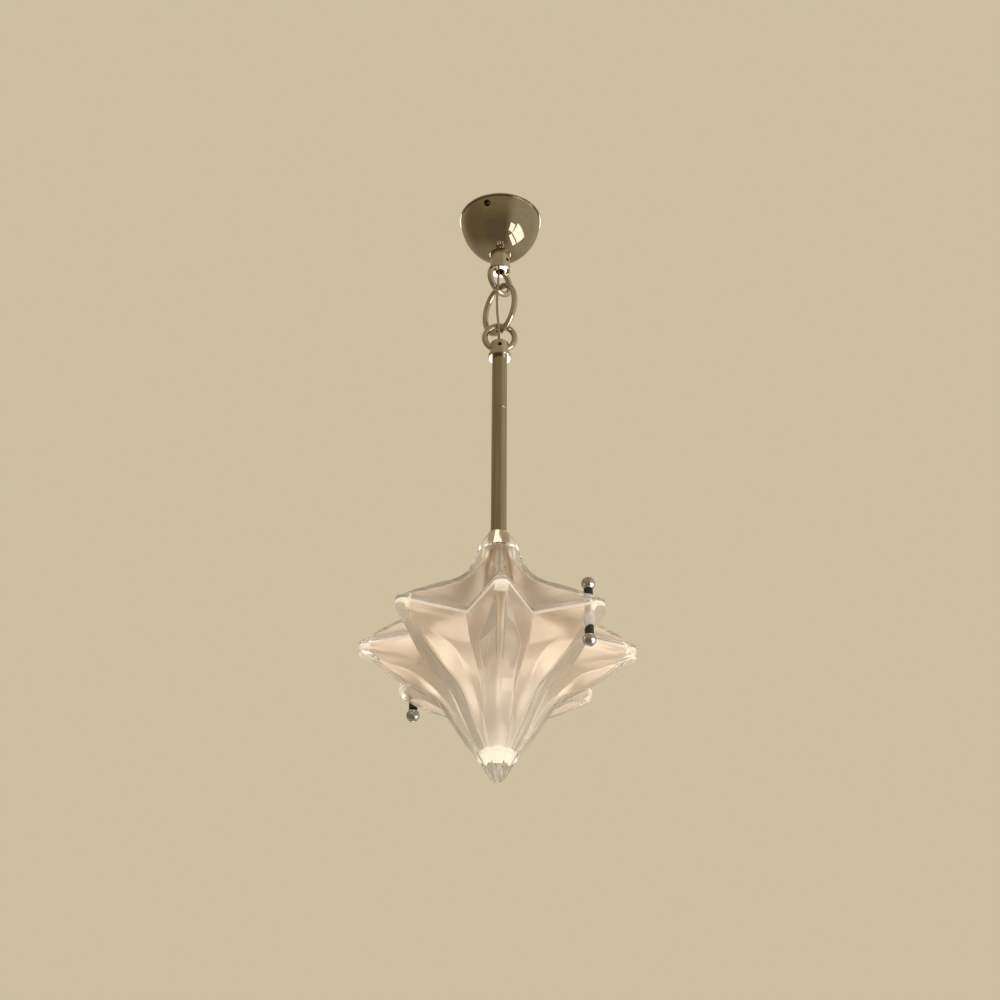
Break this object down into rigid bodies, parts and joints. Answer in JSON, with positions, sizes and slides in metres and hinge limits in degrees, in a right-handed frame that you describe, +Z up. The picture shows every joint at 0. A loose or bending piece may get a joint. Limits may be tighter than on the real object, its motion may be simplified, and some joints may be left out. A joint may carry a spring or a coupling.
{
  "type": "moravian star pendant",
  "caption": "Moravian star pendant light: a pressed-glass star shade, split at its waist, on a chromed rod hung by rings and a link from a dome canopy.",
  "frame": {"origin": "centre of the ceiling plate's upper face, midway between its two screw slots, on the ceiling", "axes": "+Z up into the ceiling, +X along the row of the two screw slots, -Y towards the front of the picture"},
  "size_m": [0.2494, 0.2494, 0.638],
  "materials": {
    "zinc_steel": "zinc-plated pressed steel",
    "white_nylon": "white nylon",
    "black_nylon": "black nylon",
    "chrome": "polished chrome plate",
    "dark_screw": "darkened steel",
    "raw_brass": "turned brass",
    "brown_cord": "dark brown sheath",
    "clear_silicone": "translucent silicone",
    "porcelain": "glazed white porcelain, of nearly glass's density",
    "star_glass": "pressed glass, satin etched, warm beige",
    "black_rubber": "black rubber",
    "lamp_metal": "lamp cap metal",
    "opal_glass": "opal white lamp glass"
  },
  "bodies": {
    "ceiling_fixture": {"ceiling_plate": "zinc_steel", "earth_screw": "zinc_steel", "terminal_block": "white_nylon", "terminal_screws": "zinc_steel", "block_screw": "zinc_steel", "canopy": "chrome", "canopy_screws": "dark_screw", "canopy_loop": "chrome", "loop_nipple": "raw_brass", "nipple_washer": "zinc_steel", "nipple_locknut": "raw_brass", "cord_grip": "black_nylon", "canopy_loop_screw": "dark_screw", "cord_in_canopy": "brown_cord"},
    "link": {"link": "chrome", "cord_free_upper": "brown_cord", "cord_free_lower": "brown_cord"},
    "pendant": {"rod_loop": "chrome", "rod_loop_screw": "dark_screw", "rod_nipple": "raw_brass", "rod_flange": "chrome", "rod_upper": "chrome", "rod_coupler": "raw_brass", "rod_lower": "chrome", "rod_end_bush": "raw_brass", "glass_support": "chrome", "neck_sleeve": "clear_silicone", "support_nut": "raw_brass", "holder_nipple": "raw_brass", "holder_cap": "raw_brass", "holder_shell": "raw_brass", "holder_core": "porcelain", "holder_thread_shell": "raw_brass", "holder_contact": "raw_brass", "cord_in_rod": "brown_cord", "glass_upper": "star_glass", "clip_rods": "chrome", "ball_nuts_upper": "chrome", "clip_bushes_upper": "black_rubber"},
    "lamp": {"lamp_cap": "lamp_metal", "lamp_contact": "lamp_metal", "lamp_globe": "opal_glass"},
    "lower_glass": {"glass_lower": "star_glass", "clip_bushes_lower": "black_rubber"},
    "nut_right": {"ball_nut_lower_right": "chrome"},
    "nut_left": {"ball_nut_lower_left": "chrome"}
  },
  "joints": [
    {"name": "link_swing", "type": "hinge", "parent": "ceiling_fixture", "child": "link", "pos_m": [0, 0, -0.097], "axis": [0.682, 0.7314, 0], "range_deg": [-40, 40], "deforming": ["cord_free_upper"]},
    {"name": "rod_swing", "type": "hinge", "parent": "link", "child": "pendant", "pos_m": [0, 0, -0.1473], "axis": [0.6691, -0.7431, 0], "range_deg": [-25, 25], "deforming": ["cord_free_lower"]},
    {"name": "lamp_unscrew", "type": "hinge", "parent": "pendant", "child": "lamp", "pos_m": [0, 0, -0.455], "axis": [0, 0, 1], "continuous": true},
    {"name": "lower_glass_slide", "type": "slide", "parent": "pendant", "child": "lower_glass", "axis": [0, 0, -1], "range_m": [0, 0.09]},
    {"name": "nut_right_spin", "type": "hinge", "parent": "lower_glass", "child": "nut_right", "pos_m": [0.07672, -0.07672, -0.53895], "axis": [0, 0, 1], "continuous": true},
    {"name": "nut_left_spin", "type": "hinge", "parent": "lower_glass", "child": "nut_left", "pos_m": [-0.07672, 0.07672, -0.53895], "axis": [0, 0, 1], "continuous": true}
  ]
}
